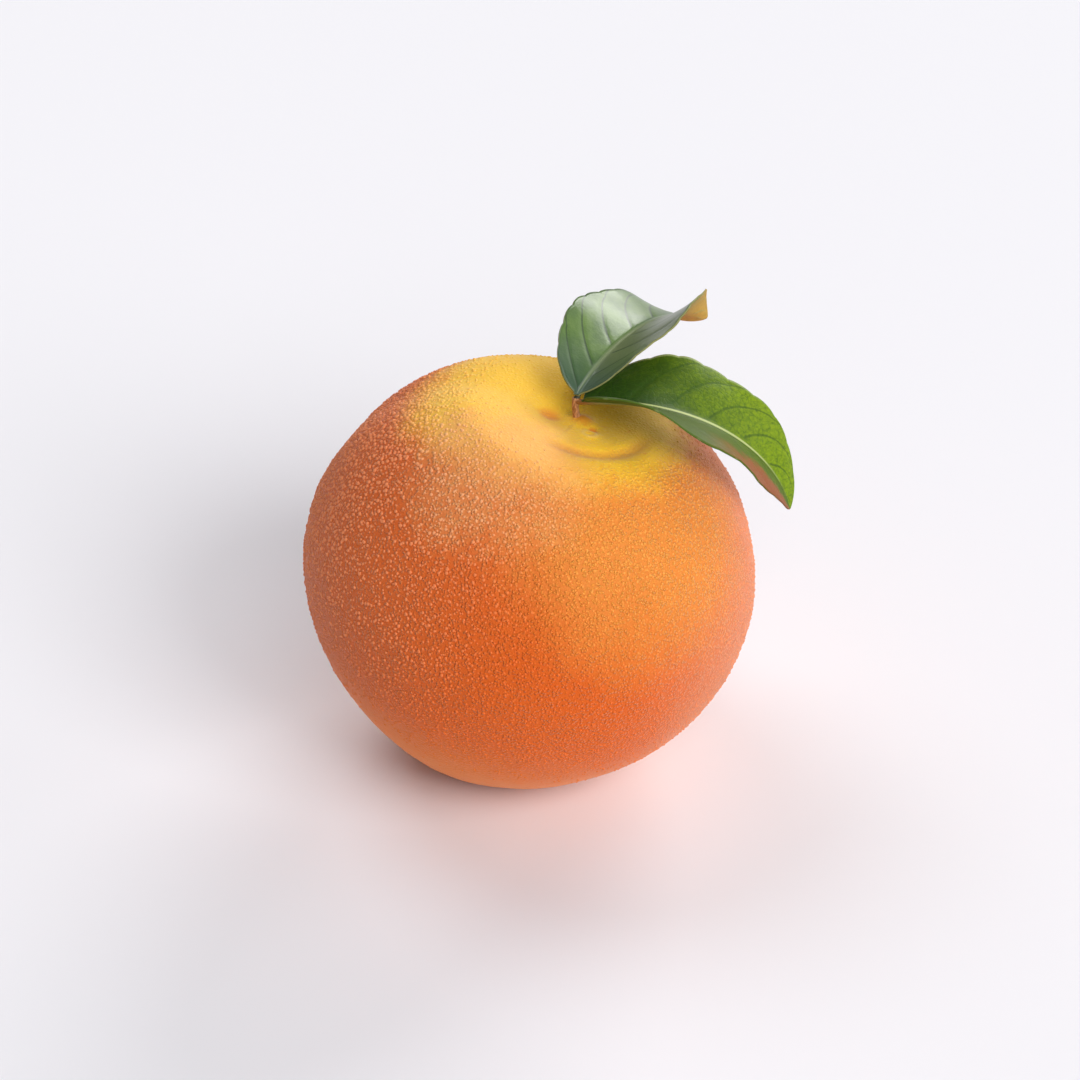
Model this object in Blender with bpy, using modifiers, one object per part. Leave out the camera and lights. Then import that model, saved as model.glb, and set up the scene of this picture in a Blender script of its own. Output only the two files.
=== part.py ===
"""A whole peach standing on a small flat spot, with its stem nub and two leaves.

Four nodes: peach_body, stem, leaf_front and leaf_rear. Units are metres, +Z is up,
the front of the fruit faces -Y, and the origin is the centre of the resting spot.
"""
import math

import bmesh
import bpy
from mathutils import Matrix, Vector

MM = 0.001

# Fruit
SKIN_RADIUS = 35.2 * MM          # from the fruit's centre to its widest skin
CENTRE = Vector((3.0, 0.6, 33.4)) * MM   # fruit's centre above the resting spot
AXIS_TILT = math.radians(15)     # stem axis leans towards +X
AXIS_BACK = math.radians(4)      # and a little towards +Y
TAPER = 1.6 * MM                 # how much the lower half narrows
CROWN_DROP = 2.8 * MM            # how far the crown is flattened
POINT_RISE = 3.0 * MM            # blunt point at the blossom end
POINT_WIDTH = 0.50               # radians
CAVITY_DEPTH = 4.6 * MM          # stem cavity
CAVITY_WIDTH = 0.38              # radians
SUTURE_DEPTH = 1.2 * MM          # groove from the cavity down the left side
SUTURE_AZIMUTH = math.radians(160)
SUTURE_WIDTH = 0.17
FLOOR_BLEND = 0.7 * MM           # rounding where the skin meets the resting spot
SEGMENTS = 52
RINGS = 38
RING_BIAS = 1.12                 # rings crowd towards the stem cavity

# Stem nub
STEM_FOOT = 28.30 * MM           # foot's distance from the fruit's centre, along its axis
STEM_LENGTH = 3.2 * MM
STEM_RADIUS = 0.50 * MM
STEM_FLARE = 1.35                # foot radius over top radius
STEM_LEAN = math.radians(20)     # how far it leans back from the fruit's axis, towards -X

# Leaves
LEAF_THICKNESS = 0.45 * MM
PETIOLE_SHARE = 0.03             # part of the length that is bare stalk
PETIOLE_HALF_WIDTH = 0.50 * MM
TIP_HALF_WIDTH = 0.35 * MM
STATIONS = 26                    # steps along the leaf
STRIPS = 6                       # strips across it
FOLD_ROUNDING = 0.1              # softness of the fold at the midrib
SHARP_EDGE = math.radians(50)

FRONT_LEAF = dict(
    start=Vector((8.0, 1.1, 30.6)) * MM, length=42.0 * MM, half_width=12.2 * MM,
    heading=(-1.5, 10.0), pitch=(3.0, -56.0, -25.0), roll=(-27.0, 66.0, 0.0),
    fold=26.0, cup=0.12, rise_power=0.40, fall_power=0.92)
REAR_LEAF = dict(
    start=Vector((7.2, 1.9, 31.1)) * MM, length=38.6 * MM, half_width=9.2 * MM,
    heading=(63.5, -16.5), pitch=(17.5, -50.0, -4.0), roll=(0.0, -3.5, -75.0),
    fold=21.0, cup=-0.15, rise_power=0.62, fall_power=0.78)


def start_scene():
    """Empty the scene and give the fruit a collection of its own."""
    for item in list(bpy.data.objects):
        bpy.data.objects.remove(item, do_unlink=True)
    bpy.context.scene.collection.children.link(bpy.data.collections.new("peach"))


def principled(name, colour, roughness):
    """A plain Principled material with one colour."""
    material = bpy.data.materials.new(name)
    material.use_nodes = True
    shader = material.node_tree.nodes["Principled BSDF"]
    shader.inputs["Base Color"].default_value = (*colour, 1.0)
    shader.inputs["Roughness"].default_value = roughness
    material.diffuse_color = (*colour, 1.0)
    return material


def add_node(name, mesh_source, material):
    """Turn a bmesh into a named object in the fruit's collection."""
    mesh = bpy.data.meshes.new(name)
    bmesh.ops.recalc_face_normals(mesh_source, faces=mesh_source.faces)
    mesh_source.to_mesh(mesh)
    mesh_source.free()
    mesh.shade_smooth()
    mesh.set_sharp_from_angle(angle=SHARP_EDGE)
    mesh.materials.append(material)
    node = bpy.data.objects.new(name, mesh)
    bpy.data.collections["peach"].objects.link(node)
    return node


def smooth_step(low, high, value):
    """0 below low, 1 above high, and an S curve between."""
    share = min(1.0, max(0.0, (value - low) / (high - low)))
    return share * share * (3.0 - 2.0 * share)


# ---------------------------------------------------------------- fruit

def skin_radius(polar, azimuth):
    """Distance from the fruit's centre to the skin, in the fruit's own frame."""
    up = math.cos(polar)
    out = math.sin(polar)
    radius = SKIN_RADIUS
    radius -= TAPER * math.sin(max(0.0, -up) * math.pi / 2.0) ** 2
    radius -= CROWN_DROP * max(0.0, up) ** 2
    radius += POINT_RISE * math.exp(-((math.pi - polar) / POINT_WIDTH) ** 2)
    radius -= CAVITY_DEPTH * math.exp(-(polar / CAVITY_WIDTH) ** 2)
    turn = azimuth - SUTURE_AZIMUTH
    if math.cos(turn) > 0.0:
        across = out * math.sin(turn) / SUTURE_WIDTH
        strength = min(1.0, out / 0.30) * smooth_step(-0.25, 0.75, up)
        radius -= SUTURE_DEPTH * strength * math.exp(-across * across)
    return radius


def stem_axis():
    """The turn from the fruit's own frame, +Z at the stem, to the standing frame."""
    return Matrix.Rotation(-AXIS_BACK, 3, "X") @ Matrix.Rotation(AXIS_TILT, 3, "Y")


def settle(height):
    """Press the skin flat where it stands, with a soft edge."""
    if height >= FLOOR_BLEND:
        return height
    if height <= -FLOOR_BLEND:
        return 0.0
    return (height + FLOOR_BLEND) ** 2 / (4.0 * FLOOR_BLEND)


def build_fruit(material):
    """The solid flesh and skin, as one closed body."""
    fruit = bmesh.new()
    bmesh.ops.create_uvsphere(fruit, u_segments=SEGMENTS, v_segments=RINGS, radius=1.0)
    turn = stem_axis()
    for vert in fruit.verts:
        direction = vert.co.normalized()
        polar = math.pi * (math.acos(max(-1.0, min(1.0, direction.z))) / math.pi) ** RING_BIAS
        azimuth = math.atan2(direction.y, direction.x)
        radius = skin_radius(polar, azimuth)
        point = turn @ Vector((math.sin(polar) * math.cos(azimuth),
                               math.sin(polar) * math.sin(azimuth),
                               math.cos(polar))) * radius + CENTRE
        point.z = settle(point.z)
        vert.co = point
    return add_node("peach_body", fruit, material)


# ---------------------------------------------------------------- stem

def build_stem(material):
    """The short woody nub in the cavity, slightly flared at its foot."""
    stem = bmesh.new()
    bmesh.ops.create_cone(stem, cap_ends=True, segments=14, radius1=STEM_RADIUS * STEM_FLARE,
                          radius2=STEM_RADIUS, depth=STEM_LENGTH)
    bmesh.ops.translate(stem, verts=stem.verts, vec=(0.0, 0.0, STEM_LENGTH / 2.0))
    bmesh.ops.rotate(stem, verts=stem.verts, matrix=Matrix.Rotation(-STEM_LEAN, 3, "Y"))
    bmesh.ops.translate(stem, verts=stem.verts, vec=(0.0, 0.0, STEM_FOOT))
    bmesh.ops.transform(stem, verts=stem.verts, matrix=stem_axis().to_4x4())
    bmesh.ops.translate(stem, verts=stem.verts, vec=CENTRE)
    return add_node("stem", stem, material)


# ---------------------------------------------------------------- leaves

def leaf_directions(leaf, share):
    """Unit vectors along the midrib, to the leaf's left, and out of its upper side."""
    heading = math.radians(leaf["heading"][0] + leaf["heading"][1] * share)
    pitch = math.radians(leaf["pitch"][0] + leaf["pitch"][1] * share
                         + leaf["pitch"][2] * share * share)
    roll = math.radians(leaf["roll"][0] + leaf["roll"][1] * share
                        + leaf["roll"][2] * share ** 4)
    along = Vector((math.cos(pitch) * math.cos(heading),
                    math.cos(pitch) * math.sin(heading), math.sin(pitch)))
    left = Vector((-math.sin(heading), math.cos(heading), 0.0))
    upper = along.cross(left)
    return (along, left * math.cos(roll) + upper * math.sin(roll),
            upper * math.cos(roll) - left * math.sin(roll))


def midrib(leaf):
    """Points along the midrib, one for each station."""
    point = CENTRE + leaf["start"]
    points = [point.copy()]
    step = leaf["length"] / STATIONS
    for station in range(STATIONS):
        along, _, _ = leaf_directions(leaf, (station + 0.5) / STATIONS)
        point = point + along * step
        points.append(point)
    return points


def blade_half_width(leaf, share):
    """Half width of the leaf: a bare stalk, then an egg-shaped blade."""
    reach = (share - PETIOLE_SHARE) / (1.0 - PETIOLE_SHARE)
    if reach <= 0.0:
        return PETIOLE_HALF_WIDTH
    rise, fall = leaf["rise_power"], leaf["fall_power"]
    peak = rise / (rise + fall)
    shape = (reach ** rise) * ((1.0 - reach) ** fall)
    shape /= (peak ** rise) * ((1.0 - peak) ** fall)
    floor = PETIOLE_HALF_WIDTH + (TIP_HALF_WIDTH - PETIOLE_HALF_WIDTH) * reach
    return floor + (leaf["half_width"] - floor) * shape


def build_leaf(name, leaf, material):
    """A folded, bent blade with its stalk, given an even thickness."""
    blade = bmesh.new()
    bmesh.ops.create_grid(blade, x_segments=STATIONS, y_segments=STRIPS, size=1.0)
    points = midrib(leaf)
    fold = math.radians(leaf["fold"])
    for vert in blade.verts:
        share = (vert.co.x + 1.0) / 2.0
        side = vert.co.y
        width = blade_half_width(leaf, share)
        _, left, upper = leaf_directions(leaf, share)
        rise = math.hypot(side, FOLD_ROUNDING) - FOLD_ROUNDING
        lift = rise * math.sin(fold) - leaf["cup"] * side * side
        vert.co = points[round(share * STATIONS)] + (left * (side * math.cos(fold)) + upper * lift) * width
    node = add_node(name, blade, material)
    thicken = node.modifiers.new("Thickness", "SOLIDIFY")
    thicken.thickness = LEAF_THICKNESS
    thicken.offset = 0.0
    return node


def main():
    start_scene()
    build_fruit(principled("peach_skin", (0.85, 0.36, 0.12), 0.85))
    build_stem(principled("stem_wood", (0.45, 0.25, 0.12), 0.8))
    build_leaf("leaf_front", FRONT_LEAF, principled("leaf_green_front", (0.16, 0.27, 0.03), 0.5))
    build_leaf("leaf_rear", REAR_LEAF, principled("leaf_green_rear", (0.20, 0.28, 0.10), 0.45))


main()
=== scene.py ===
"""Looks of a whole peach: velvety skin with its beaded grain, the stem nub and two leaves.

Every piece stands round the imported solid, in metres, with +Z up and the front towards -Y.
"""
import math

import bmesh
import bpy
import numpy as np
from bpy.props import FloatProperty, FloatVectorProperty, IntProperty, PointerProperty
from mathutils import Matrix, Vector, noise


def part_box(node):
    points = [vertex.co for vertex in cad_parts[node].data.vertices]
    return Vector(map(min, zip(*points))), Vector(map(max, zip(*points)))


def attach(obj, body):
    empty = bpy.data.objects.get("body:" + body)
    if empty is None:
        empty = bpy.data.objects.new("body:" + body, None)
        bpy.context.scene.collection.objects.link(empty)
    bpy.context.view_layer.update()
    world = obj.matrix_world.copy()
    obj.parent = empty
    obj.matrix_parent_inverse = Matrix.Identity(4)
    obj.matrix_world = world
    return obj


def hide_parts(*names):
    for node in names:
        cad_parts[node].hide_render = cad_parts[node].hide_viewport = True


bl_info = {
    "name": "Peach",
    "version": (1, 0, 0),
    "blender": (4, 5, 0),
    "location": "3D View > Sidebar > Peach",
    "description": "Dresses a standing peach with skin, beads, stem and leaves",
    "category": "Object",
}

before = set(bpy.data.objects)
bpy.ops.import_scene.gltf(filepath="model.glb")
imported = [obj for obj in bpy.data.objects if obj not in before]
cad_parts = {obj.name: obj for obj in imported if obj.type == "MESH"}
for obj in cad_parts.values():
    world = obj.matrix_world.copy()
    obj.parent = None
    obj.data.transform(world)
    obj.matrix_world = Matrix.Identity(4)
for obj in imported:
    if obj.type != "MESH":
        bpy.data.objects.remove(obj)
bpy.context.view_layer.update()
MM = 0.001

# The solid fruit's box sets the centre and the girth of everything here.
FRUIT_LOW, FRUIT_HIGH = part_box("peach_body")
GIRTH_RADIUS = (FRUIT_HIGH.y - FRUIT_LOW.y) / 2.0
CENTRE_SHARE = 0.5163            # the centre's height, as a share of the fruit's
CENTRE_HEIGHT = CENTRE_SHARE * FRUIT_HIGH.z
FRUIT_CENTRE = Vector(((FRUIT_LOW.x + FRUIT_HIGH.x) / 2.0,
                       (FRUIT_LOW.y + FRUIT_HIGH.y) / 2.0, CENTRE_HEIGHT))

# How the fruit leans: its stem axis tips towards +X and a little towards +Y.
AXIS_TILT = math.radians(15)
AXIS_BACK = math.radians(4)
FRUIT_TURN = Matrix.Rotation(-AXIS_BACK, 3, "X") @ Matrix.Rotation(AXIS_TILT, 3, "Y")

# Form of the skin, as lengths and as angles from the stem.
TAPER = 1.6 * MM
CROWN_DROP = 2.8 * MM
POINT_RISE = 3.0 * MM
POINT_WIDTH = 0.50
CAVITY_DEPTH = 4.6 * MM
CAVITY_WIDTH = 0.38
SUTURE_DEPTH = 1.2 * MM
SUTURE_AZIMUTH = math.radians(160)
SUTURE_WIDTH = 0.17
SUTURE_START = 0.30              # how far from the stem axis it reaches its full depth
SUTURE_RUN = (-0.25, 0.75)       # it fades in between these heights over the centre, in radii
FLOOR_BLEND = 0.7 * MM

# Small forms in the stem cavity.
CREASE_POLAR = math.radians(21.0)
CREASE_WIDTH = math.radians(2.2)
CREASE_DEPTH = 0.8 * MM
CREASE_AZIMUTH = math.radians(-66)
CREASE_SPREAD = math.radians(46)
LIP_POLAR = math.radians(33.0)
LIP_WIDTH = math.radians(5.5)
LIP_RISE = 0.7 * MM
LIP_AZIMUTH = math.radians(-118)
LIP_SPREAD = math.radians(52)
SCAR_POLAR = math.radians(10.0)
SCAR_AZIMUTH = math.radians(-68)
SCAR_RADIUS = 1.05 * MM
SCAR_RISE = 0.30 * MM
PIT_POLAR = math.radians(7.5)
PIT_AZIMUTH = math.radians(-46)
PIT_RADIUS = 0.75 * MM
PIT_DEPTH = 0.45 * MM
DENT_POLAR = math.radians(8.5)
DENT_AZIMUTH = math.radians(176)
DENT_RADIUS = 1.9 * MM
DENT_DEPTH = 0.7 * MM
COLLAR_POLAR = math.radians(2.2)
COLLAR_AZIMUTH = math.radians(-25)
COLLAR_RADIUS = 1.7 * MM
COLLAR_RISE = 1.1 * MM
CAVITY_RADIUS = 0.82 * GIRTH_RADIUS      # how far from the centre these small forms lie

# Raised beads. A direction is a polar angle from the stem and an azimuth, in degrees.
BEAD_SHOULDER = (66, 178)        # where they are coarsest
BEAD_SIDE = (78, -145)
BEAD_FRONT = (75, -100)
COARSE_FROM = 0.22               # coarser beads than this are in the coarse piece
BEAD_RADIUS = 0.17 * MM
BEAD_UNEVENNESS = 0.07 * MM
BEAD_GAIN = 0.20 * MM            # how much larger the coarsest are
BEAD_HEIGHT = 0.7                # share of the radius
BEAD_SINK = 0.12                 # share of the radius
BEAD_SPIN = 6.28                 # a bead's largest turn, in radians

# The stem's swellings, as shares of its radius.
STEM_FOOT_SWELL = 0.55
STEM_TOP_SWELL = 0.18

# Leaves, bent as in the solid. Here their stalks are shorter, their tips narrower and the
# front leaf a little fuller.
LEAF_STALK_SHARE = 0.012
STALK_HALF_WIDTH = 0.50 * MM
TIP_HALF_WIDTH = 0.22 * MM
FOLD_ROUNDING = 0.1
SIDE_POWER = 1.15                # strips lie closer together at the midrib
SIDE_VEINS = 6.5                 # side veins over the leaf's length
VEIN_LEAN = 0.17                 # how far a vein runs forward on its way to the margin
VEIN_CURL = 0.12                 # how much further forward it bends at the margin
VEIN_STAGGER = 0.35              # how far the two halves' veins are out of step
GROOVE_WIDTH = 0.08              # share of the distance from vein to vein
TEETH = 11.0                     # soft teeth along the margin
TOOTH_DEPTH = 0.035              # share of the half width
TOOTH_STAGGER = 0.2
EDGE_WAVE = 0.045                # share of the half width
MIDRIB_RISE = 0.16 * MM
MIDRIB_WIDTH = 0.28 * MM
FRONT_LEAF = dict(
    start=Vector((8.0, 1.1, 30.6)) * MM, heading=(-1.5, 10.0), pitch=(3.0, -56.0, -25.0),
    roll=(-27.0, 66.0, 0.0), fold=26.0, cup=0.12, rise_power=0.34, fall_power=0.88)
REAR_LEAF = dict(
    start=Vector((7.2, 1.9, 31.1)) * MM, heading=(63.5, -16.5), pitch=(17.5, -50.0, -4.0),
    roll=(0.0, -3.5, -75.0), fold=21.0, cup=-0.15, rise_power=0.62, fall_power=0.78)

# Tints of small marks, as linear light.
# Painted shade in the cavity's crease.
CREASE_SHADE_TINT = (0.62, 0.20, 0.05)
# Painted highlight on the scar's raised ring.
SCAR_RING_HIGHLIGHT_TINT = (0.95, 0.62, 0.16)
BARK_GAP_TINT = (0.36, 0.140, 0.045)
BARK_SPECK_TINT = (0.62, 0.32, 0.16)
# Painted dappled light and shade on the front leaf.
LIT_GREEN = (0.27, 0.38, 0.004)
SHADE_FLECK_GREEN = (0.040, 0.090, 0.004)
NET_GREEN = (0.05, 0.12, 0.008)
FRONT_VEIN_GREEN = (0.035, 0.085, 0.006)
FRONT_RIGHT_GREEN = (0.060, 0.095, 0.008)
PATCH_GREEN = (0.105, 0.190, 0.030)
# Partly the leaf's own olive, partly painted gloss reflection on its right half.
REAR_RIGHT_GREEN_AND_GLOSS = (0.140, 0.165, 0.070)
REAR_ROOT_GREEN = (0.030, 0.075, 0.035)
REAR_VEIN_GREEN = (0.016, 0.040, 0.010)
REAR_MIDRIB_GREEN = (0.22, 0.28, 0.13)
UNDER_VEIN_GREEN = (0.30, 0.34, 0.14)
UNDER_FLECK_GREEN = (0.06, 0.10, 0.02)

# The stage: angles in degrees, lamps as name, azimuth, elevation, brightness and colour.
FLOOR_SIZE = 15.0
LAMP_SPREAD = 32.0
LAMPS = (
    ("front_lamp", -75.0, 40.0, 0.32, (1.0, 0.99, 0.98)),
    ("front_right_lamp", -45.0, 36.0, 0.56, (1.0, 0.99, 0.97)),
    ("right_lamp", 10.0, 20.0, 0.16, (1.0, 0.99, 0.97)),
    ("rear_right_lamp", 60.0, 25.0, 0.50, (1.0, 0.99, 0.97)),
    ("back_lamp", 130.0, 55.0, 0.26, (0.98, 0.99, 1.0)),
)
CAMERA_LENS = 171.4
CAMERA_ELEVATION = 36.0
CAMERA_DISTANCE = 0.7956
CAMERA_AIM = Vector((1.65, -0.6, 5.8)) * MM      # from the fruit's centre


# ---------------------------------------------------------------- settings

def length_setting(name, description, default):
    """A length that a user can change, in metres."""
    return FloatProperty(name=name, description=description, default=default, min=0.0,
                         soft_max=0.2, precision=5, unit="LENGTH")


def colour_setting(name, description, default):
    """A colour that a user can change, as linear light."""
    return FloatVectorProperty(name=name, description=description, default=default,
                               subtype="COLOR", size=3, min=0.0, max=1.0)


class PeachSkinSettings(bpy.types.PropertyGroup):
    """Sizes and colours of the fruit's skin."""
    girth_radius: length_setting("Girth radius", "Radius at the widest skin", GIRTH_RADIUS)
    relief: length_setting("Relief", "Height of the soft waves in the skin", 0.16 * MM)
    grain_size: length_setting("Grain size", "Distance from bead to bead", 0.50 * MM)
    grain_height: length_setting("Grain height", "How far the beaded grain stands", 0.29 * MM)
    bead_count: IntProperty(name="Bead count", description="Raised beads tried over the skin",
                            default=34000, min=0, max=60000)
    crown: colour_setting("Crown", "Yellow round the stem cavity", (0.98, 0.59, 0.035))
    # Rim is a painted highlight: the pale band where the cavity's near lip catches the light.
    rim_highlight: colour_setting("Rim", "Pale band on the near edge of the cavity", (0.95, 0.42, 0.130))
    blush: colour_setting("Blush", "Orange red of the front", (0.81, 0.138, 0.004))
    # Cheek is partly the fruit's own paler orange and partly painted light and sheen on the
    # brighter right side.
    cheek: colour_setting("Cheek", "Paler orange of the sunny side", (0.87, 0.280, 0.115))
    gold: colour_setting("Gold", "Golden shoulder between crown and cheek", (0.95, 0.36, 0.050))
    # Foot is partly the fruit's own warm orange and partly painted orange light reflected up from
    # below.
    foot: colour_setting("Foot", "Warm orange near the resting spot", (0.84, 0.200, 0.001))
    # Spot is painted shade: it darkens the pit, the dent and the skin round the stem's foot.
    spot: colour_setting("Spot", "Orange of the marks round the stem", (0.80, 0.210, 0.030))
    # Mostly a painted sheen, with a little pale down: it whitens the left edge and the bead tops
    # where velvet would catch grazing light.
    down_and_sheen: colour_setting("Bloom", "Pale down on the bead tops", (0.84, 0.42, 0.22))
    # Painted shade in the hollows between the beads.
    gap: colour_setting("Gap", "Deep orange between the beads", (0.52, 0.068, 0.002))


class PeachLeafSettings(bpy.types.PropertyGroup):
    """Sizes and colours of the stem and leaves."""
    front_length: length_setting("Front length", "Front leaf, stalk to tip", 42.0 * MM)
    front_half_width: length_setting("Front half width", "Front leaf's half width", 12.2 * MM)
    rear_length: length_setting("Rear length", "Rear leaf, stalk to tip", 38.6 * MM)
    rear_half_width: length_setting("Rear half width", "Rear leaf's half width", 9.2 * MM)
    thickness: length_setting("Thickness", "Thickness of a blade", 0.26 * MM)
    vein_depth: length_setting("Vein depth", "How far the side veins sink", 0.08 * MM)
    stem_radius: length_setting("Stem radius", "Radius of the stem nub", 0.50 * MM)
    dark: colour_setting("Dark green", "Front leaf near its stalk", (0.022, 0.062, 0.006))
    bright: colour_setting("Bright green", "Front leaf towards its tip", (0.175, 0.275, 0.002))
    dull: colour_setting("Dull green", "Rear leaf", (0.055, 0.120, 0.018))
    vein: colour_setting("Vein", "Pale midrib", (0.420, 0.480, 0.180))
    dry: colour_setting("Dry edge", "Dried brown of the margins", (0.260, 0.075, 0.018))
    wood: colour_setting("Wood", "Stem nub", (0.850, 0.430, 0.190))


# ---------------------------------------------------------------- shader sums

class Wire:
    """A node's socket that takes part in sums, so that masks read as plain arithmetic."""

    def __init__(self, finish, socket):
        self.finish = finish
        self.socket = socket

    def _sum(self, operation, first, second):
        return self.finish.node("ShaderNodeMath", {"operation": operation},
                                {0: first, 1: second})

    def __add__(self, other):
        return self._sum("ADD", self, other)

    def __radd__(self, other):
        return self._sum("ADD", other, self)

    def __sub__(self, other):
        return self._sum("SUBTRACT", self, other)

    def __rsub__(self, other):
        return self._sum("SUBTRACT", other, self)

    def __mul__(self, other):
        return self._sum("MULTIPLY", self, other)

    def __rmul__(self, other):
        return self._sum("MULTIPLY", other, self)

    def __pow__(self, other):
        return self._sum("POWER", self, other)


class Finish:
    """One material: its node tree, and the few kinds of node that its patterns need."""

    def __init__(self, name):
        self.material = bpy.data.materials.new(name)
        self.material.use_nodes = True
        self.tree = self.material.node_tree
        self.shader = self.tree.nodes["Principled BSDF"]

    def node(self, kind, settings=None, inputs=None, output=0):
        """Add a node of any type: its settings first, then its sockets' values or links."""
        added = self.tree.nodes.new(kind)
        for name, value in (settings or {}).items():
            setattr(added, name, value)
        for key, value in (inputs or {}).items():
            self.feed(added.inputs[key], value)
        return Wire(self, added.outputs[output])

    def feed(self, socket, value):
        """Give a socket a link or a plain value."""
        if isinstance(value, Wire):
            self.tree.links.new(value.socket, socket)
        elif socket.type == "RGBA":
            socket.default_value = (*value, 1.0)
        else:
            socket.default_value = value

    def surface(self, **values):
        """Set the Principled shader's sockets, named with _ for each space."""
        for name, value in values.items():
            self.feed(self.shader.inputs[name.replace("_", " ")], value)

    def place(self):
        """The point on the piece, in metres."""
        return self.node("ShaderNodeTexCoord", output="Object")

    def fruit_place(self):
        """The point in the fruit's own frame: unit radius, +Z at the stem."""
        return self.node("ShaderNodeMapping", {"vector_type": "TEXTURE"}, {
            "Vector": self.place(), "Location": FRUIT_CENTRE,
            "Rotation": FRUIT_TURN.to_euler(), "Scale": (GIRTH_RADIUS,) * 3})

    def split(self, vector, axis):
        """One of a vector's three numbers."""
        return self.node("ShaderNodeSeparateXYZ", None, {0: vector}, axis)

    def towards(self, vector, direction):
        """How far a unit vector points along a direction, from -1 to 1."""
        return self.node("ShaderNodeVectorMath", {"operation": "DOT_PRODUCT"},
                         {0: vector, 1: direction}, "Value")

    def unit(self, vector):
        """The same direction with length 1."""
        return self.node("ShaderNodeVectorMath", {"operation": "NORMALIZE"}, {0: vector})

    def shifted(self, vector, offset):
        """A vector moved by another."""
        return self.node("ShaderNodeVectorMath", {"operation": "ADD"}, {0: vector, 1: offset})

    def stretched(self, vector, factors):
        """A vector with each number scaled."""
        return self.node("ShaderNodeVectorMath", {"operation": "MULTIPLY"},
                         {0: vector, 1: factors})

    def ease(self, value, low, high):
        """0 at low, 1 at high, and an S curve between."""
        return self.node("ShaderNodeMapRange", {"interpolation_type": "SMOOTHSTEP"},
                         {"Value": value, "From Min": low, "From Max": high})

    def clouds(self, vector, size, detail=2.0, rough=0.5):
        """Soft noise from 0 to 1, with features of about a size in the vector's units."""
        return self.node("ShaderNodeTexNoise", {"noise_dimensions": "3D"}, {
            "Vector": vector, "Scale": 1.0 / size, "Detail": detail, "Roughness": rough}, "Fac")

    def cells(self, vector, size, feature="F1"):
        """Distance from the nearest cell's middle, or from its edge, in cells of about a size."""
        return self.node("ShaderNodeTexVoronoi", {"feature": feature}, {
            "Vector": vector, "Scale": 1.0 / size, "Randomness": 1.0}, "Distance")

    def mix(self, mask, first, second):
        """The first colour where the mask is 0 and the second where it is 1."""
        return self.node("ShaderNodeMix", {"data_type": "RGBA"},
                         {0: mask, 6: first, 7: second}, 2)

    def bump(self, height, distance):
        """A normal that makes a height from 0 to 1 stand out by a distance."""
        return self.node("ShaderNodeBump", None,
                         {"Height": height, "Distance": distance, "Strength": 1.0})


# ---------------------------------------------------------------- mesh helpers

def finish_piece(name, source, materials, replaced=()):
    """Turn a bmesh into a smooth piece that rides on the fruit."""
    mesh = bpy.data.meshes.new(name)
    source.to_mesh(mesh)
    source.free()
    mesh.shade_smooth()
    for material in materials:
        mesh.materials.append(material)
    piece = bpy.data.objects.new(name, mesh)
    bpy.context.scene.collection.objects.link(piece)
    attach(piece, "root")
    if replaced:
        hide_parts(*replaced)
    return piece


def ease(low, high, values):
    """0 below low, 1 above high, and an S curve between, for numbers or arrays."""
    share = np.clip((values - low) / (high - low), 0.0, 1.0)
    return share * share * (3.0 - 2.0 * share)


def direction_from(polar, azimuth):
    """The unit vector at a polar angle from the stem and an azimuth round it."""
    return Vector((math.sin(polar) * math.cos(azimuth), math.sin(polar) * math.sin(azimuth),
                   math.cos(polar)))


# ---------------------------------------------------------------- skin

def skin_radius(ways, girth):
    """Distance from the fruit's centre to its skin along unit ways in its own frame."""
    up = ways[:, 2]
    out = np.hypot(ways[:, 0], ways[:, 1])
    polar = np.arctan2(out, up)
    turn = np.arctan2(ways[:, 1], ways[:, 0]) - SUTURE_AZIMUTH
    radius = girth - TAPER * np.sin(np.maximum(0.0, -up) * math.pi / 2.0) ** 2
    radius -= CROWN_DROP * np.maximum(0.0, up) ** 2
    radius += POINT_RISE * np.exp(-((math.pi - polar) / POINT_WIDTH) ** 2)
    radius -= CAVITY_DEPTH * np.exp(-(polar / CAVITY_WIDTH) ** 2)
    strength = np.minimum(1.0, out / SUTURE_START) * ease(*SUTURE_RUN, up)
    strength = strength * (np.cos(turn) > 0.0)
    radius -= SUTURE_DEPTH * strength * np.exp(-(out * np.sin(turn) / SUTURE_WIDTH) ** 2)
    return radius


def spot(ways, polar, azimuth, radius):
    """Distance over the skin from a spot, in units of a radius."""
    centre = np.array(direction_from(polar, azimuth))
    return np.arccos(np.clip(ways @ centre, -1.0, 1.0)) * CAVITY_RADIUS / radius


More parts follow.
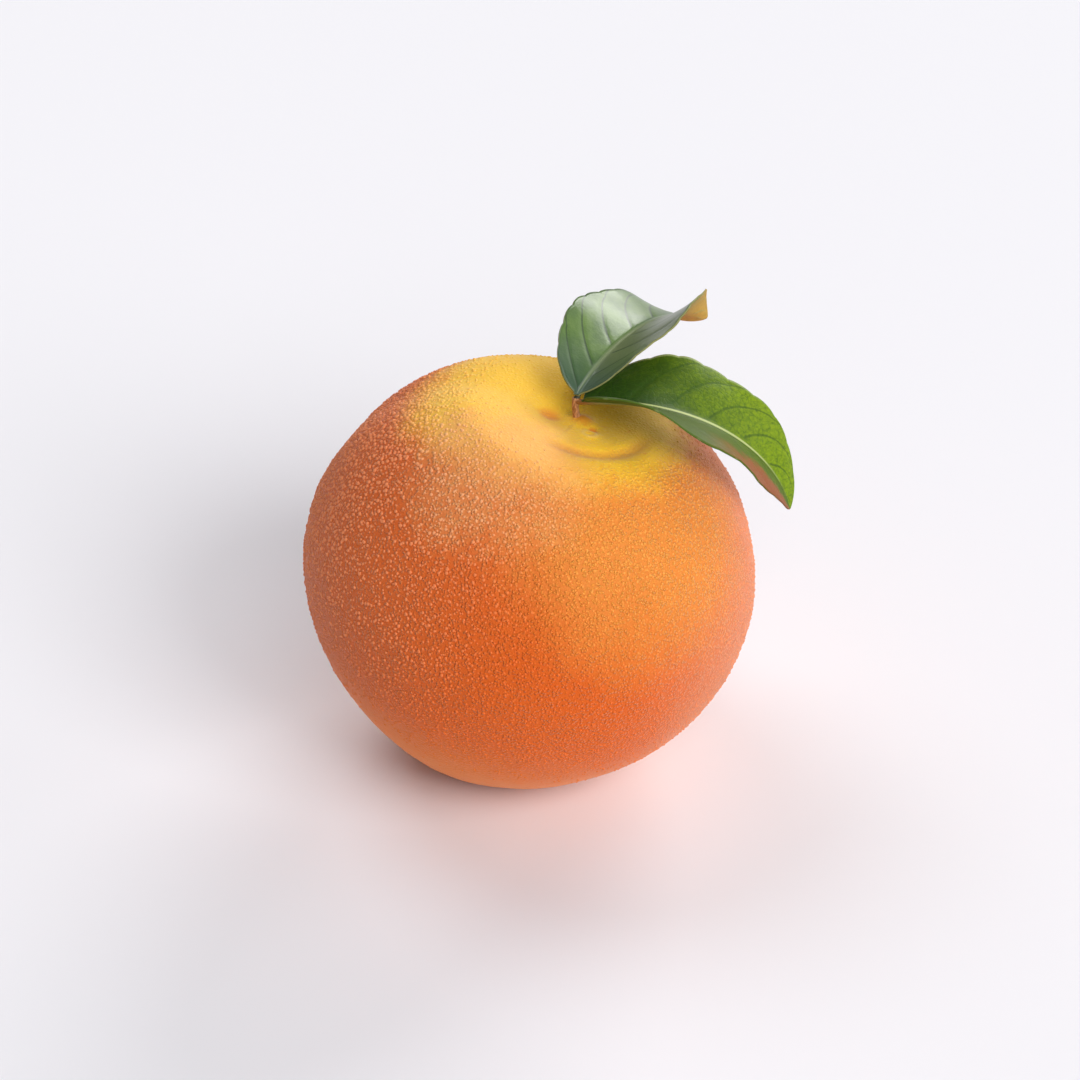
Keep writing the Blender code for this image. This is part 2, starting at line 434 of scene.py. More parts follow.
def cavity_detail(ways):
    """The crease and lip at the cavity's near edge, and the scar, dent and collar inside."""
    polar = np.arctan2(np.hypot(ways[:, 0], ways[:, 1]), ways[:, 2])
    azimuth = np.arctan2(ways[:, 1], ways[:, 0])
    from_crease = np.angle(np.exp(1j * (azimuth - CREASE_AZIMUTH))) / CREASE_SPREAD
    from_lip = np.angle(np.exp(1j * (azimuth - LIP_AZIMUTH))) / LIP_SPREAD
    off_crease = (polar - CREASE_POLAR) / CREASE_WIDTH
    off_lip = (polar - LIP_POLAR) / LIP_WIDTH
    detail = -CREASE_DEPTH * np.exp(-from_crease ** 4 - off_crease ** 2)
    detail += LIP_RISE * np.exp(-from_lip ** 2 - off_lip ** 2)
    scar = spot(ways, SCAR_POLAR, SCAR_AZIMUTH, SCAR_RADIUS)
    detail += SCAR_RISE * np.exp(-((scar - 1.0) / 0.40) ** 2)
    detail -= PIT_DEPTH * np.exp(-spot(ways, PIT_POLAR, PIT_AZIMUTH, PIT_RADIUS) ** 2)
    detail -= DENT_DEPTH * np.exp(-spot(ways, DENT_POLAR, DENT_AZIMUTH, DENT_RADIUS) ** 2)
    collar = spot(ways, COLLAR_POLAR, COLLAR_AZIMUTH, COLLAR_RADIUS)
    return detail + COLLAR_RISE * np.exp(-collar ** 2)


def waves(points, relief):
    """Soft unevenness of the skin, in three sizes."""
    sizes = ((9.0 * MM, 1.0), (3.0 * MM, 0.42), (1.1 * MM, 0.16))
    heights = np.zeros(len(points))
    for size, share in sizes:
        heights += share * np.array([noise.noise(Vector(point) / size) for point in points])
    return heights * relief


def settle(heights):
    """Press the skin flat where it stands, with a soft edge."""
    blended = (heights + FLOOR_BLEND) ** 2 / (4.0 * FLOOR_BLEND)
    return np.where(heights >= FLOOR_BLEND, heights,
                    np.where(heights <= -FLOOR_BLEND, 0.0, blended))


def skin_points(ways, settings):
    """Points on the skin along unit ways in the fruit's own frame."""
    turned = ways @ np.array(FRUIT_TURN).T
    radius = skin_radius(ways, settings.girth_radius) + cavity_detail(ways)
    radius = radius + waves(turned * settings.girth_radius, settings.relief)
    points = turned * radius[:, None] + np.array(FRUIT_CENTRE)
    points[:, 2] = settle(points[:, 2])
    return points


def build_skin(settings):
    """The whole skin as an even net of small squares drawn over the fruit."""
    cuts = 126
    net = bmesh.new()
    bmesh.ops.create_cube(net, size=2.0)
    bmesh.ops.subdivide_edges(net, edges=net.edges[:], cuts=cuts, use_grid_fill=True)
    ways = np.tan(np.array([vert.co for vert in net.verts]) * math.pi / 4.0)
    ways /= np.linalg.norm(ways, axis=1)[:, None]
    for vert, point in zip(net.verts, skin_points(ways, settings)):
        vert.co = point
    return finish_piece("skin", net, [skin_finish(settings)], ["peach_body"])


class SkinZones:
    """Where the skin's colours lie, as masks in the fruit's own frame."""

    def __init__(self, finish):
        self.finish = finish
        place = finish.fruit_place()
        self.way = finish.unit(place)
        drift = finish.clouds(place, 0.35, 3.0, 0.55)
        fleck = finish.clouds(place, 0.035, 2.0, 0.6)
        self.sway = (drift - 0.5) * 0.15 + (fleck - 0.5) * 0.09
        self.crown = self.zone(9, 150, 0.67, 0.86)
        self.gold = self.zone(42, -60, 0.66, 1.01)
        # Where the paler cheek lies, partly the fruit's own tone and partly painted light and
        # sheen.
        self.cheek = self.zone(82, 10, 0.25, 0.85)
        # Where the painted highlight on the cavity's near lip lies.
        self.rim_highlight = self.zone(36, -124, 0.86, 1.00)
        # The left mask marks the edge where the painted grazing sheen lies.
        self.left = finish.ease(self.towards(70, -168), 0.25, 0.95)
        self.height = finish.split(self.way, 2)
        # Where the painted orange light reflected from below lies, over the fruit's own warm
        # orange.
        self.foot = finish.ease(self.height + self.sway, -0.30, -0.85)

    def towards(self, polar, azimuth):
        """How far the skin faces a direction given in degrees."""
        return self.finish.towards(
            self.way, direction_from(math.radians(polar), math.radians(azimuth)))

    def zone(self, polar, azimuth, low, high):
        """A round zone about a direction, with an uneven edge."""
        return self.finish.ease(self.towards(polar, azimuth) + self.sway, low, high)

    def dot(self, polar, azimuth, radius):
        """Distance from a small spot's centre, in its radii; the angles are in radians."""
        away = self.finish.node("ShaderNodeVectorMath", {"operation": "DISTANCE"},
                                {0: self.way, 1: direction_from(polar, azimuth)}, "Value")
        return away * (CAVITY_RADIUS / radius)

    def colour(self, settings):
        """The skin's colour before its grain."""
        finish = self.finish
        freckle = finish.ease(finish.clouds(finish.place(), 0.9 * MM, 2.0, 0.7), 0.60, 0.74)
        # Paler cheek: partly the fruit's own tone, partly painted light and sheen on the right
        # side.
        colour = finish.mix(self.cheek, settings.blush, settings.cheek)
        # Towards the resting spot: the fruit's own orange, with painted orange light reflected
        # from below.
        colour = finish.mix(self.foot, colour, settings.foot)
        colour = finish.mix(self.gold, colour, settings.gold)
        colour = finish.mix(self.crown, colour, settings.crown)
        # Painted highlight on the cavity's near lip.
        colour = finish.mix(self.rim_highlight * 0.70, colour, settings.rim_highlight)
        colour = finish.mix(freckle * (self.crown + self.gold) * 0.22, colour, settings.blush)
        # The crease is a band round the stem, on its near side only, with painted shade in it.
        crease = (finish.ease(self.height, 0.912, 0.930) * finish.ease(self.height, 0.952, 0.936)
                  * finish.ease(self.towards(90, -66), 0.18, 0.30))
        colour = finish.mix(crease * 0.45, colour, CREASE_SHADE_TINT)
        # The scar's raised ring gets a painted highlight.
        scar = self.dot(SCAR_POLAR, SCAR_AZIMUTH, SCAR_RADIUS)
        ring_highlight = finish.ease(scar, 0.55, 0.95) * finish.ease(scar, 1.45, 1.05)
        colour = finish.mix(ring_highlight * 0.55, colour, SCAR_RING_HIGHLIGHT_TINT)
        # Painted shade in the pit, in the dent and round the stem's foot.
        for polar, azimuth, radius, strength in (
                (PIT_POLAR, PIT_AZIMUTH, PIT_RADIUS, 0.85),
                (DENT_POLAR, DENT_AZIMUTH, DENT_RADIUS, 0.65),
                (COLLAR_POLAR, COLLAR_AZIMUTH, COLLAR_RADIUS, 0.55)):
            spot_shade_mask = finish.ease(self.dot(polar, azimuth, radius), 1.35, 0.35)
            colour = finish.mix(spot_shade_mask * strength, colour, settings.spot)
        # Painted grazing sheen along the left edge, over a little pale down.
        return finish.mix(self.left * 0.12, colour, settings.down_and_sheen)


def skin_finish(settings):
    """Velvety skin: zones of colour, a beaded grain with painted shade between the beads and
    painted sheen on their tops, and a soft sheen.
    """
    finish = Finish("peach_velvet")
    zones = SkinZones(finish)
    place = finish.place()
    size = settings.grain_size
    push = finish.node("ShaderNodeTexNoise", None,
                       {"Vector": place, "Scale": 0.7 / size, "Detail": 1.0}, "Color")
    bent = finish.shifted(place, finish.stretched(push, (size * 0.7,) * 3))
    bead = 1.0 - finish.ease(finish.cells(bent, size), 0.08, 0.60)
    fine = finish.clouds(place, size * 0.45, 1.0)
    grain = bead * 0.8 + fine * 0.35
    rough = finish.ease(zones.height, -0.85, -0.15) * (1.0 - 0.80 * zones.crown)
    colour = zones.colour(settings)
    # Painted shade in the hollows between the beads, on the rougher lower skin.
    colour = finish.mix(rough * finish.ease(grain, 0.64, 0.12) * 0.42, colour, settings.gap)
    # Painted sheen and highlight on the bead tops, strongest at the left edge and the cavity's
    # lip; its small even part is the pale down.
    top = finish.ease(grain, 0.55, 1.05) * rough
    pale = 0.04 + 0.26 * zones.left + 0.30 * zones.rim_highlight
    colour = finish.mix(top * pale, colour, settings.down_and_sheen)
    finish.surface(Base_Color=colour, Roughness=0.60, Specular_IOR_Level=0.24,
                   Sheen_Weight=0.24, Sheen_Roughness=0.42, Sheen_Tint=(1.0, 0.78, 0.66),
                   Subsurface_Weight=0.10, Subsurface_Radius=(1.0, 0.35, 0.12),
                   Subsurface_Scale=1.2 * MM,
                   Normal=finish.bump(grain * (0.15 + 0.85 * rough), settings.grain_height))
    return finish.material


def bead_shape():
    """A low dome of a few faces, radius 1, closed underneath by one flat face."""
    dome = bmesh.new()
    bmesh.ops.create_uvsphere(dome, u_segments=5, v_segments=4, radius=1.0)
    cut = dome.verts[:] + dome.edges[:] + dome.faces[:]
    bmesh.ops.bisect_plane(dome, geom=cut, plane_co=(0, 0, -0.01), plane_no=(0, 0, -1),
                           clear_outer=True)
    bmesh.ops.holes_fill(dome, edges=dome.edges[:])
    bmesh.ops.recalc_face_normals(dome, faces=dome.faces[:])
    mesh = bpy.data.meshes.new("bead_shape")
    dome.to_mesh(mesh)
    dome.free()
    return mesh


def facing(ways, polar, azimuth):
    """How far unit ways point towards angles in degrees, from -1 to 1."""
    return ways @ np.array(direction_from(math.radians(polar), math.radians(azimuth)))


def bead_places(settings):
    """Scattered ways over the fruit, with how coarse the beads are there and some draws."""
    count = max(settings.bead_count, 1)
    draws = np.random.default_rng(7).random((count, 5))
    spread = 1.5 / math.sqrt(count)
    pole_gap = 0.02
    polar = np.arccos(1.0 - 2.0 * (np.arange(count) + 0.5) / count)
    azimuth = np.arange(count) * math.pi * (3.0 - math.sqrt(5.0))
    polar = np.clip(polar + (draws[:, 0] - 0.5) * 2.0 * spread, pole_gap,
                    math.pi - pole_gap)
    azimuth = azimuth + (draws[:, 1] - 0.5) * 2.0 * spread / np.sin(polar)
    ways = np.stack([np.sin(polar) * np.cos(azimuth), np.sin(polar) * np.sin(azimuth),
                     np.cos(polar)], axis=1)
    shoulder = ease(0.60, 0.98, facing(ways, *BEAD_SHOULDER))
    side = ease(0.45, 0.97, facing(ways, *BEAD_SIDE))
    front = ease(0.2, 0.8, facing(ways, *BEAD_FRONT))
    coarse = np.maximum(shoulder, 0.55 * side)
    likely = np.maximum(0.26 + 0.26 * front, 0.85 * coarse)
    likely *= ease(-0.80, -0.25, ways[:, 2]) * (1.0 - 0.95 * ease(0.80, 0.90, ways[:, 2]))
    keep = draws[:, 2] < likely
    return ways[keep], coarse[keep], draws[keep]


def build_beads(settings):
    """Raised beads, largest and closest on the upper left: one piece coarse, one fine."""
    ways, coarse, draws = bead_places(settings)
    points = skin_points(ways, settings)
    shape = bead_shape()
    finish = bead_finish(settings)
    for name, chosen in (("beads_coarse", coarse > COARSE_FROM),
                         ("beads_fine", coarse <= COARSE_FROM)):
        beads = bmesh.new()
        rows = zip(ways[chosen], points[chosen], coarse[chosen], draws[chosen])
        for way, point, share, draw in rows:
            radius = (BEAD_RADIUS + BEAD_UNEVENNESS * draw[3]
                      + BEAD_GAIN * share * draw[3] ** 1.5)
            outward = FRUIT_TURN @ Vector(way)
            spin = Matrix.Rotation(draw[4] * BEAD_SPIN, 3, "Z")
            turn = outward.to_track_quat("Z", "Y").to_matrix() @ spin
            stretch = 0.75 + 0.5 * draw[0]
            size = Matrix.Diagonal((radius, radius * stretch, radius * BEAD_HEIGHT))
            centre = Vector(point) - outward * radius * BEAD_SINK
            place = Matrix.Translation(centre) @ (turn @ size).to_4x4()
            shape.transform(place)
            beads.from_mesh(shape)
            shape.transform(place.inverted())
        finish_piece(name, beads, [finish])
    bpy.data.meshes.remove(shape)


def bead_finish(settings):
    """The skin's colours, with a little pale down and a painted sheen on the bead tops, strongest
    on the upper left and at the cavity's lip.
    """
    finish = Finish("peach_beads")
    zones = SkinZones(finish)
    # Painted sheen and highlight on the bead tops, strongest at the left edge and the cavity's
    # lip; its small even part is the pale down.
    pale = 0.04 + 0.28 * zones.left + 0.30 * zones.rim_highlight
    colour = finish.mix(pale, zones.colour(settings), settings.down_and_sheen)
    finish.surface(Base_Color=colour, Roughness=0.50, Specular_IOR_Level=0.30,
                   Sheen_Weight=0.16, Sheen_Roughness=0.5, Sheen_Tint=(1.0, 0.76, 0.60))
    return finish.material


# ---------------------------------------------------------------- stem

def stem_line(share):
    """The stem's own line, from its foot in the cavity to its top between the leaves."""
    low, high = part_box("stem")
    foot = Vector((high.x - 0.55 * MM, low.y + 0.60 * MM, low.z - 0.25 * MM))
    top = Vector((low.x + 0.62 * MM, high.y - 0.62 * MM, high.z + 0.15 * MM))
    bow = Vector((-0.25, -0.1, 0.0)) * MM * math.sin(share * math.pi)
    return foot.lerp(top, share) + bow


def build_stem(settings):
    """A short fibrous nub with a swollen foot and a ragged top."""
    rings, sides = 18, 20
    stem = bmesh.new()
    bmesh.ops.create_cone(stem, cap_ends=True, cap_tris=True, segments=sides, radius1=1.0,
                          radius2=1.0, depth=1.0)
    long_edges = [edge for edge in stem.edges
                  if abs(edge.verts[0].co.z - edge.verts[1].co.z) > 0.5]
    bmesh.ops.subdivide_edges(stem, edges=long_edges, cuts=rings)
    for vert in stem.verts:
        share = vert.co.z + 0.5
        around = math.atan2(vert.co.y, vert.co.x)
        radius = settings.stem_radius * (1.0 + STEM_FOOT_SWELL * math.exp(-share / 0.16)
                                         + STEM_TOP_SWELL * math.exp(-(1.0 - share) / 0.12))
        fibre = Vector((math.cos(around) * 2.2, math.sin(around) * 2.2, share * 1.5))
        radius *= 1.0 + 0.10 * noise.noise(fibre)
        radius *= 1.0 + 0.05 * math.sin(around * 7.0 + share * 2.0)
        middle = Vector((vert.co.x, vert.co.y, 0.0))
        ragged = 0.30 * MM * noise.noise(middle * 1.7) if share > 0.99 else 0.0
        vert.co = stem_line(share) + middle * radius + Vector((0.0, 0.0, ragged))
    return finish_piece("stem_nub", stem, [wood_finish(settings)], ["stem"])


def wood_finish(settings):
    """Dry fibrous bark with dark gaps between its fibres."""
    finish = Finish("stem_bark")
    place = finish.place()
    streak = finish.clouds(finish.stretched(place, (1.0, 1.0, 0.25)), 0.22 * MM, 3.0, 0.6)
    speck = finish.clouds(place, 0.6 * MM, 2.0)
    colour = finish.mix(finish.ease(streak, 0.35, 0.7), BARK_GAP_TINT, settings.wood)
    colour = finish.mix(finish.ease(speck, 0.5, 0.75), colour, BARK_SPECK_TINT)
    finish.surface(Base_Color=colour, Roughness=0.8,
                   Normal=finish.bump(streak, 0.10 * MM))
    return finish.material


# ---------------------------------------------------------------- leaves

def leaf_directions(leaf, share):
    """Unit vectors along the midrib, to the leaf's left, and out of its upper side."""
    heading = math.radians(leaf["heading"][0] + leaf["heading"][1] * share)
    pitch = math.radians(leaf["pitch"][0] + leaf["pitch"][1] * share
                         + leaf["pitch"][2] * share * share)
    roll = math.radians(leaf["roll"][0] + leaf["roll"][1] * share
                        + leaf["roll"][2] * share ** 4)
    along = Vector((math.cos(pitch) * math.cos(heading),
                    math.cos(pitch) * math.sin(heading), math.sin(pitch)))
    left = Vector((-math.sin(heading), math.cos(heading), 0.0))
    upper = along.cross(left)
    return (along, left * math.cos(roll) + upper * math.sin(roll),
            upper * math.cos(roll) - left * math.sin(roll))


def midrib(leaf, length, stations):
    """Points along the midrib, one for each station."""
    point = FRUIT_CENTRE + leaf["start"]
    points = [point.copy()]
    for station in range(stations):
        along, _, _ = leaf_directions(leaf, (station + 0.5) / stations)
        point = point + along * (length / stations)
        points.append(point)
    return points


def blade_half_width(leaf, half_width, share):
    """Half width of the leaf: a short stalk, then an egg-shaped blade."""
    reach = (share - LEAF_STALK_SHARE) / (1.0 - LEAF_STALK_SHARE)
    if reach <= 0.0:
        return STALK_HALF_WIDTH
    rise, fall = leaf["rise_power"], leaf["fall_power"]
    peak = rise / (rise + fall)
    shape = (reach ** rise) * ((1.0 - reach) ** fall)
    shape /= (peak ** rise) * ((1.0 - peak) ** fall)
    floor = STALK_HALF_WIDTH + (TIP_HALF_WIDTH - STALK_HALF_WIDTH) * reach
    return floor + (half_width - floor) * shape


def vein_phase(share, side):
    """Counts the side veins along the leaf; a vein lies at each whole number."""
    reach = abs(side)
    offset = VEIN_STAGGER if side < 0.0 else 0.0
    return (share - VEIN_LEAN * reach - VEIN_CURL * reach ** 3) * SIDE_VEINS + offset


def build_leaf(name, leaf, length, half_width, settings, materials, node):
    """A folded blade with sunken side veins, a raised midrib and a toothed margin."""
    stations, strips = 150, 48
    blade = bmesh.new()
    layer = blade.loops.layers.uv.new("leaf")
    bmesh.ops.create_grid(blade, x_segments=stations, y_segments=strips, size=1.0)
    for face in blade.faces:
        for loop in face.loops:
            loop[layer].uv = ((loop.vert.co.x + 1.0) / 2.0, (loop.vert.co.y + 1.0) / 2.0)
    points = midrib(leaf, length, stations)
    fold = math.radians(leaf["fold"])
    for vert in blade.verts:
        share = (vert.co.x + 1.0) / 2.0
        side = math.copysign(abs(vert.co.y) ** SIDE_POWER, vert.co.y)
        width = blade_half_width(leaf, half_width, share)
        beat = share * TEETH + TOOTH_STAGGER * math.copysign(1, side)
        tooth = 1.0 - abs(math.sin(math.pi * beat)) ** 0.6
        width *= 1.0 - TOOTH_DEPTH * tooth * abs(side) ** 3 * min(1.0, width / (3.0 * MM))
        _, left, upper = leaf_directions(leaf, share)
        rise = math.hypot(side, FOLD_ROUNDING) - FOLD_ROUNDING
        wave = EDGE_WAVE * side * side * math.sin(share * 17.0 + 2.0 * side)
        lift = (rise * math.sin(fold) - leaf["cup"] * side * side + wave) * width
        body = min(1.0, width / (4.0 * MM))
        phase = vein_phase(share, side)
        groove = math.exp(-((phase - round(phase)) / GROOVE_WIDTH) ** 2)
        fade = ease(0.03, 0.15, abs(side)) * (1.0 - 0.7 * ease(0.75, 1.0, abs(side)))
        lift -= settings.vein_depth * groove * fade * body
        lift += MIDRIB_RISE * math.exp(-(side * width / MIDRIB_WIDTH) ** 2) * (1.0 - 0.6 * share)
        station = round(share * stations)
        vert.co = points[station] + left * (side * math.cos(fold) * width) + upper * lift
    piece = finish_piece(name, blade, materials, [node])
    thicken = piece.modifiers.new("Thickness", "SOLIDIFY")
    thicken.thickness = settings.thickness
    thicken.offset = 0.0
    thicken.material_offset = 1
    thicken.material_offset_rim = 1
    return piece


def build_rib(name, leaf, length, root, reach, material):
    """The round stalk under a leaf that thins out into its midrib."""
    rings, sides = 60, 10
    rib = bmesh.new()
    bmesh.ops.create_cone(rib, cap_ends=True, cap_tris=True, segments=sides, radius1=1.0,
                          radius2=1.0, depth=2.0)
    long_edges = [edge for edge in rib.edges
                  if abs(edge.verts[0].co.z - edge.verts[1].co.z) > 1.0]
    bmesh.ops.subdivide_edges(rib, edges=long_edges, cuts=rings)
    stations = 120
    points = midrib(leaf, length, stations)
    for vert in rib.verts:
        part = (vert.co.z + 1.0) / 2.0
        share = part * reach
        _, left, upper = leaf_directions(leaf, share)
        spine = points[min(stations, round(share * stations))]
        near_root = math.exp(-share / 0.03)
        spine = spine.lerp(root, near_root)
        radius = (0.16 + 0.34 * math.exp(-share / 0.10)) * MM * (1.0 - 0.75 * part)
        drop = 0.20 * MM * (1.0 - near_root)
        vert.co = spine + (left * vert.co.x + upper * vert.co.y) * radius - upper * drop
    return finish_piece(name, rib, [material])


def leaf_pattern(finish):
    """Along the leaf, across it from the midrib, its left half and its side veins as masks."""
    spread = finish.node("ShaderNodeUVMap", {"uv_map": "leaf"})
    along = finish.split(spread, 0)
    side = finish.split(spread, 1) * 2.0 - 1.0
    across = finish.node("ShaderNodeMath", {"operation": "ABSOLUTE"}, {0: side})
    across = across ** SIDE_POWER
    left = finish.ease(side, -0.01, 0.01)
    phase = ((along - VEIN_LEAN * across - VEIN_CURL * across ** 3.0) * SIDE_VEINS
             + VEIN_STAGGER * (1.0 - left))
    from_vein = finish.node("ShaderNodeMath", {"operation": "PINGPONG"}, {0: phase, 1: 0.5})
    veins = (1.0 - finish.ease(from_vein, 0.012, 0.075)) * finish.ease(across, 0.03, 0.15)
    return along, across, left, veins


def front_leaf_finish(settings):
    """Satin green, dark at the stalk and bright at the tip, with darker veins and painted flecks
    of light and shade.
    """
    finish = Finish("leaf_satin")
    along, across, left, veins = leaf_pattern(finish)
    place = finish.place()
    blotch = finish.clouds(place, 4.0 * MM, 3.0, 0.6)
    fine = finish.clouds(place, 0.5 * MM, 3.0, 0.6)
    net = finish.cells(place, 1.0 * MM, "DISTANCE_TO_EDGE")
    ripe = finish.ease(along + (blotch - 0.5) * 0.40 + 0.10 * across, 0.15, 0.85)
    colour = finish.mix(ripe, settings.dark, settings.bright)
    # Painted flecks of light and of shade.
    colour = finish.mix(0.45 * ripe * finish.ease(fine, 0.42, 0.72), colour, LIT_GREEN)
    colour = finish.mix(0.50 * finish.ease(fine, 0.50, 0.28), colour, SHADE_FLECK_GREEN)
    colour = finish.mix(0.35 * (1.0 - finish.ease(net, 0.0, 0.09)), colour, NET_GREEN)
    colour = finish.mix(veins * 0.62, colour, FRONT_VEIN_GREEN)
    colour = finish.mix((1.0 - left) * 0.75, colour, FRONT_RIGHT_GREEN)
    edge = (1.0 - left) * finish.ease(across + (blotch - 0.5) * 0.8, 0.30, 0.70)
    colour = finish.mix(edge * finish.ease(along, 0.38, 0.66), colour, settings.dry)
    pale_rim = left * finish.ease(across, 0.955, 0.985) * finish.ease(along, 0.75, 0.2)
    colour = finish.mix(pale_rim, colour, settings.vein)
    rib = 1.0 - finish.ease(across, 0.014, 0.034)
    colour = finish.mix(rib * finish.ease(along, 0.95, 0.65), colour, settings.vein)
    finish.surface(Base_Color=colour, Roughness=0.42 + 0.14 * fine, Specular_IOR_Level=0.22,
                   Subsurface_Weight=0.10, Subsurface_Radius=(0.35, 1.0, 0.1),
                   Subsurface_Scale=0.5 * MM,
                   Normal=finish.bump(fine * 0.6 + finish.ease(net, 0.0, 0.12) * 0.4,
                                      0.035 * MM))
    return finish.material


def rear_leaf_finish(settings):
    """Glossy grey green with dark sunken veins, and a right half whose grey olive is partly
    painted gloss reflection.
    """
    finish = Finish("leaf_gloss")
    along, across, left, veins = leaf_pattern(finish)
    place = finish.place()
    blotch = finish.clouds(place, 3.5 * MM, 3.0, 0.6)
    fine = finish.clouds(place, 0.5 * MM, 3.0, 0.6)
    colour = finish.mix(finish.ease(blotch, 0.3, 0.7), settings.dull, PATCH_GREEN)
    # Right half: the leaf's own olive with painted gloss reflection.
    colour = finish.mix((1.0 - left) * 0.75, colour, REAR_RIGHT_GREEN_AND_GLOSS)
    colour = finish.mix(1.0 - finish.ease(along, 0.0, 0.30), colour, REAR_ROOT_GREEN)
    colour = finish.mix(veins * 0.80, colour, REAR_VEIN_GREEN)
    rib = 1.0 - finish.ease(across, 0.022, 0.06)
    colour = finish.mix(rib * 0.5, colour, REAR_MIDRIB_GREEN)
    dry = finish.ease(along + (blotch - 0.5) * 0.2, 0.80, 0.95)
    colour = finish.mix(dry, colour, settings.dry)
    finish.surface(Base_Color=colour, Roughness=0.28 + 0.12 * fine, Specular_IOR_Level=0.6,
                   Coat_Weight=0.35, Coat_Roughness=0.34,
                   Normal=finish.bump(fine, 0.03 * MM))
    return finish.material


def underside_finish(name, colour, tip_colour):
    """Matt paler underside, drier towards the tip."""
    finish = Finish(name)
    along, _, _, veins = leaf_pattern(finish)
    fine = finish.clouds(finish.place(), 0.6 * MM, 3.0, 0.6)
    shade = finish.mix(finish.ease(along + (fine - 0.5) * 0.3, 0.62, 0.92), colour, tip_colour)
    shade = finish.mix(veins * 0.4, shade, UNDER_VEIN_GREEN)
    shade = finish.mix(0.3 * finish.ease(fine, 0.4, 0.8), shade, UNDER_FLECK_GREEN)
    finish.surface(Base_Color=shade, Roughness=0.70, Specular_IOR_Level=0.14,
                   Normal=finish.bump(fine, 0.03 * MM))
    return finish.material


def rib_finish(name, colour, root_colour):
    """A stalk's smooth waxy finish, darker at its root."""
    finish = Finish(name)
    place = finish.place()
    rightward = finish.split(place, 0)
    root = finish.ease(rightward, FRUIT_CENTRE.x + 12.0 * MM, FRUIT_CENTRE.x + 7.6 * MM)
    streak = finish.clouds(place, 0.4 * MM, 2.0)
    shade = finish.mix(root, colour, root_colour)
    finish.surface(Base_Color=finish.mix(0.4 * streak, shade, root_colour), Roughness=0.5,
                   Normal=finish.bump(streak, 0.03 * MM))
    return finish.material


# ---------------------------------------------------------------- stage

def add_object(name, data):
    """Link a camera, a light or a stage piece to the scene."""
    added = bpy.data.objects.new(name, data)
    bpy.context.scene.collection.objects.link(added)
    return added


def aim(item, place, target):
    """Stand an item somewhere and turn it towards a target."""
    item.location = place
    item.rotation_mode = "QUATERNION"
    item.rotation_quaternion = (target - place).to_track_quat("-Z", "Y")


def soft_light(name, azimuth, elevation, brightness, colour):
    """A broad far lamp; brightness is what it gives a white sheet that faces it."""
    lamp = bpy.data.lights.new(name, "SUN")
    lamp.angle = math.radians(LAMP_SPREAD)
    lamp.energy = brightness * math.pi
    lamp.color = colour
    way = direction_from(math.radians(90.0 - elevation), math.radians(azimuth))
    aim(add_object(name, lamp), FRUIT_CENTRE + way, FRUIT_CENTRE)


def build_stage():
    """Pale floor, soft lamps, pale surroundings and the camera."""
    scene = bpy.context.scene
    ground = bmesh.new()
    bmesh.ops.create_grid(ground, x_segments=2, y_segments=2, size=FLOOR_SIZE)
    mesh = bpy.data.meshes.new("floor")
    ground.to_mesh(mesh)
    ground.free()
    finish = Finish("pale_floor")
    finish.surface(Base_Color=(0.82, 0.815, 0.86), Roughness=0.7)
    mesh.materials.append(finish.material)
    add_object("floor", mesh)

    for lamp in LAMPS:
        soft_light(*lamp)
    world = bpy.data.worlds.new("studio")
    world.use_nodes = True
    backdrop = world.node_tree.nodes["Background"]
    backdrop.inputs["Color"].default_value = (0.95, 0.96, 1.0, 1.0)
    backdrop.inputs["Strength"].default_value = 0.11
    scene.world = world
    scene.view_settings.view_transform = "Standard"

    camera = bpy.data.cameras.new("camera")
    camera.sensor_width = 36.0
    camera.lens = CAMERA_LENS
    elevation = math.radians(CAMERA_ELEVATION)
    target = FRUIT_CENTRE + CAMERA_AIM
    back = Vector((0.0, -math.cos(elevation), math.sin(elevation)))
    viewer = add_object("camera", camera)
    aim(viewer, target + back * CAMERA_DISTANCE, target)
    scene.camera = viewer


# ---------------------------------------------------------------- operators

class PEACH_OT_stage(bpy.types.Operator):
    """Add the floor, the lamps and the camera"""
    bl_idname = "peach.stage"
    bl_label = "Stage"

    def execute(self, context):
        build_stage()
        return {"FINISHED"}


class PEACH_OT_skin(bpy.types.Operator):
    """Draw the velvety skin over the fruit"""
    bl_idname = "peach.skin"
    bl_label = "Skin"

    def execute(self, context):
        build_skin(context.scene.peach_skin)
        return {"FINISHED"}


class PEACH_OT_beads(bpy.types.Operator):
    """Scatter the raised beads over the skin"""
    bl_idname = "peach.beads"
    bl_label = "Skin beads"

    def execute(self, context):
        build_beads(context.scene.peach_skin)
        return {"FINISHED"}


class PEACH_OT_stem(bpy.types.Operator):
    """Stand the stem nub in the cavity"""
    bl_idname = "peach.stem"
    bl_label = "Stem"

    def execute(self, context):
        build_stem(context.scene.peach_leaf)
        return {"FINISHED"}


class PEACH_OT_front_leaf(bpy.types.Operator):
    """Add the green leaf over the right shoulder, with its stalk"""
    bl_idname = "peach.front_leaf"
    bl_label = "Front leaf"

    def execute(self, context):
        settings = context.scene.peach_leaf
        under = underside_finish("leaf_satin_under", (0.080, 0.140, 0.016), (0.230, 0.100, 0.030))
        stalk = rib_finish("front_stalk", (0.30, 0.36, 0.10), (0.34, 0.14, 0.04))
        build_leaf("front_leaf", FRONT_LEAF, settings.front_length, settings.front_half_width,
                   settings, [front_leaf_finish(settings), under],
                   "leaf_front")
        build_rib("front_leaf_stalk", FRONT_LEAF, settings.front_length,
                  stem_line(0.86), 0.8, stalk)
        return {"FINISHED"}


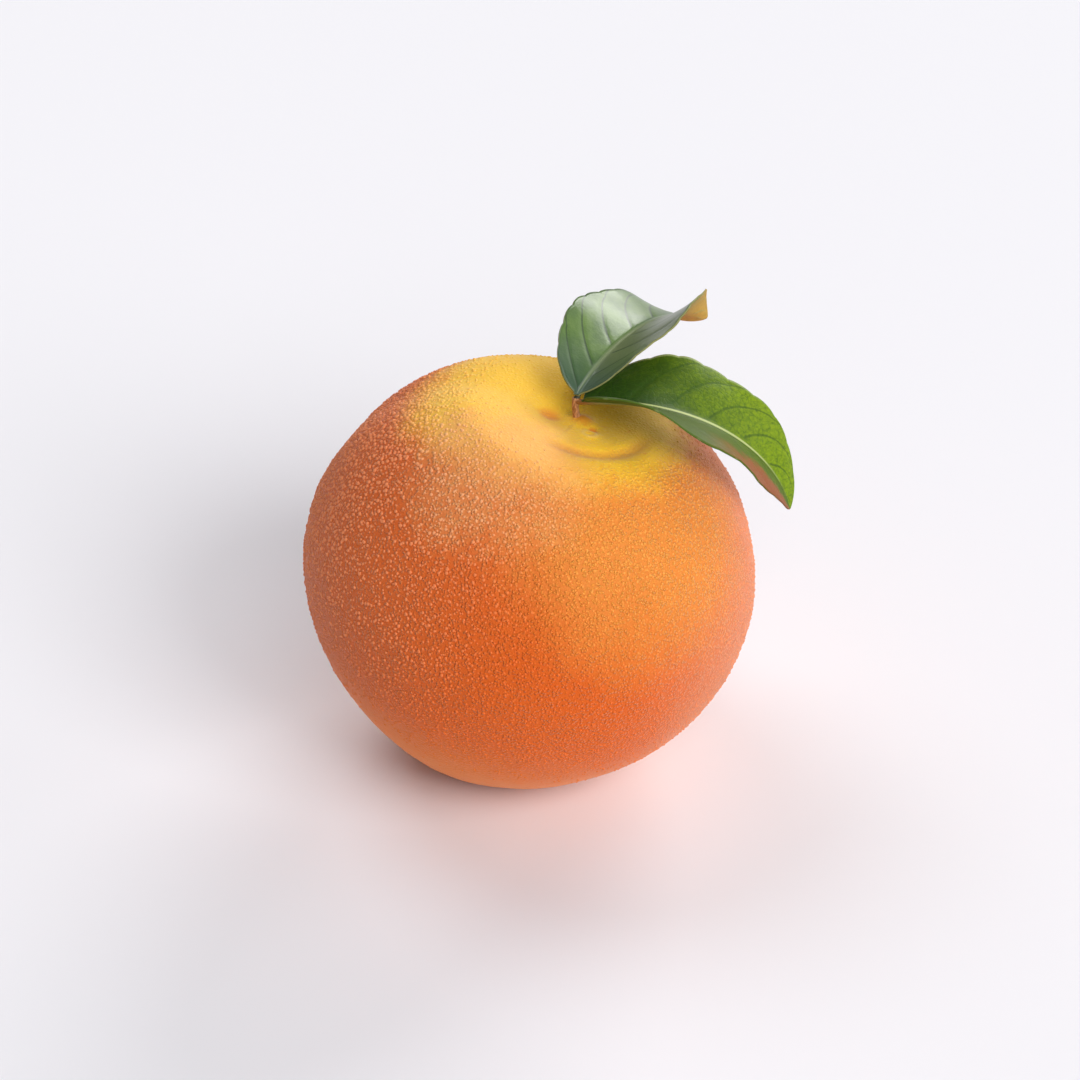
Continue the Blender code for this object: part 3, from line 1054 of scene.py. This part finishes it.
class PEACH_OT_rear_leaf(bpy.types.Operator):
    """Add the grey green leaf that leans back, with its stalk"""
    bl_idname = "peach.rear_leaf"
    bl_label = "Rear leaf"

    def execute(self, context):
        settings = context.scene.peach_leaf
        under = underside_finish("leaf_gloss_under", (0.24, 0.24, 0.09), (0.50, 0.30, 0.06))
        stalk = rib_finish("rear_stalk", (0.16, 0.22, 0.08), (0.035, 0.045, 0.025))
        build_leaf("rear_leaf", REAR_LEAF, settings.rear_length, settings.rear_half_width,
                   settings, [rear_leaf_finish(settings), under],
                   "leaf_rear")
        build_rib("rear_leaf_stalk", REAR_LEAF, settings.rear_length,
                  stem_line(0.90), 0.8, stalk)
        return {"FINISHED"}


class PEACH_PT_panel(bpy.types.Panel):
    """The peach's pieces and settings"""
    bl_idname = "PEACH_PT_panel"
    bl_label = "Peach"
    bl_space_type = "VIEW_3D"
    bl_region_type = "UI"
    bl_category = "Peach"

    def draw(self, context):
        for operator in OPERATORS:
            self.layout.operator(operator.bl_idname)
        for group in (context.scene.peach_skin, context.scene.peach_leaf):
            for name in group.__annotations__:
                self.layout.prop(group, name)


OPERATORS = (PEACH_OT_stage, PEACH_OT_skin, PEACH_OT_beads, PEACH_OT_stem,
             PEACH_OT_front_leaf, PEACH_OT_rear_leaf)
CLASSES = (PeachSkinSettings, PeachLeafSettings, *OPERATORS, PEACH_PT_panel)


def register():
    """Add the settings, the operators and the panel."""
    for item in CLASSES:
        bpy.utils.register_class(item)
    bpy.types.Scene.peach_skin = PointerProperty(type=PeachSkinSettings)
    bpy.types.Scene.peach_leaf = PointerProperty(type=PeachLeafSettings)


def unregister():
    """Take the settings, the operators and the panel away again."""
    del bpy.types.Scene.peach_leaf
    del bpy.types.Scene.peach_skin
    for item in reversed(CLASSES):
        bpy.utils.unregister_class(item)


def main():
    """Build the whole peach."""
    register()
    bpy.ops.peach.stage()
    bpy.ops.peach.skin()
    bpy.ops.peach.beads()
    bpy.ops.peach.stem()
    bpy.ops.peach.front_leaf()
    bpy.ops.peach.rear_leaf()


if __name__ == "__main__":
    main()
